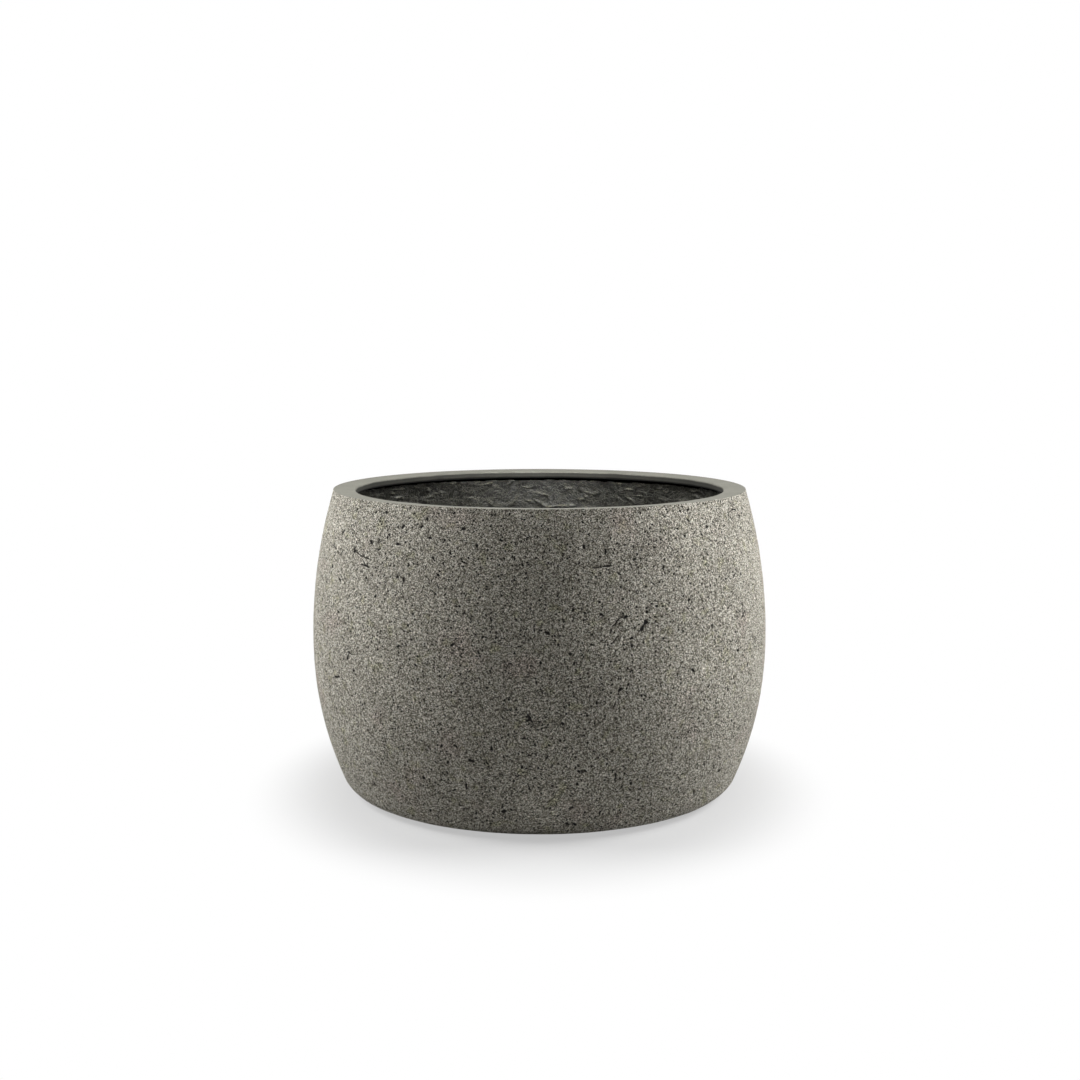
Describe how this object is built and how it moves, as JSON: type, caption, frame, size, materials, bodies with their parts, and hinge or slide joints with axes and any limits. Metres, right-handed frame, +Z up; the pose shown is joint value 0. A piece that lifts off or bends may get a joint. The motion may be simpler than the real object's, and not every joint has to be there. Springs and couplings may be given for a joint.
{
  "type": "planter",
  "caption": "Round barrel-shaped fibreglass floor planter with a stone-filled face, a flat turned-in rim, a plugged drain hole and rubber pads underneath.",
  "frame": {"origin": "middle of the planter on the floor, which the pads stand on", "axes": "+Z up along the planter's axis of revolution; +X towards the right of the picture, and +Y away from its viewer"},
  "size_m": [0.6, 0.5998, 0.4],
  "materials": {
    "stone_face": "matte",
    "glass_laminate": "satin",
    "cast_rim": "matte",
    "plug_rubber": "matte",
    "pad_rubber": "matte"
  },
  "bodies": {
    "planter": {"stone_face": "stone_face", "glass_lining": "glass_laminate", "rim": "cast_rim", "floor_pad_1": "pad_rubber", "floor_pad_2": "pad_rubber", "floor_pad_3": "pad_rubber", "floor_pad_4": "pad_rubber"},
    "drain_plug": {"drain_plug": "plug_rubber"}
  },
  "joints": [
    {"name": "drain_plug_pull", "type": "slide", "parent": "planter", "child": "drain_plug", "axis": [0, 0, 1], "range_m": [0, 0.45]}
  ]
}
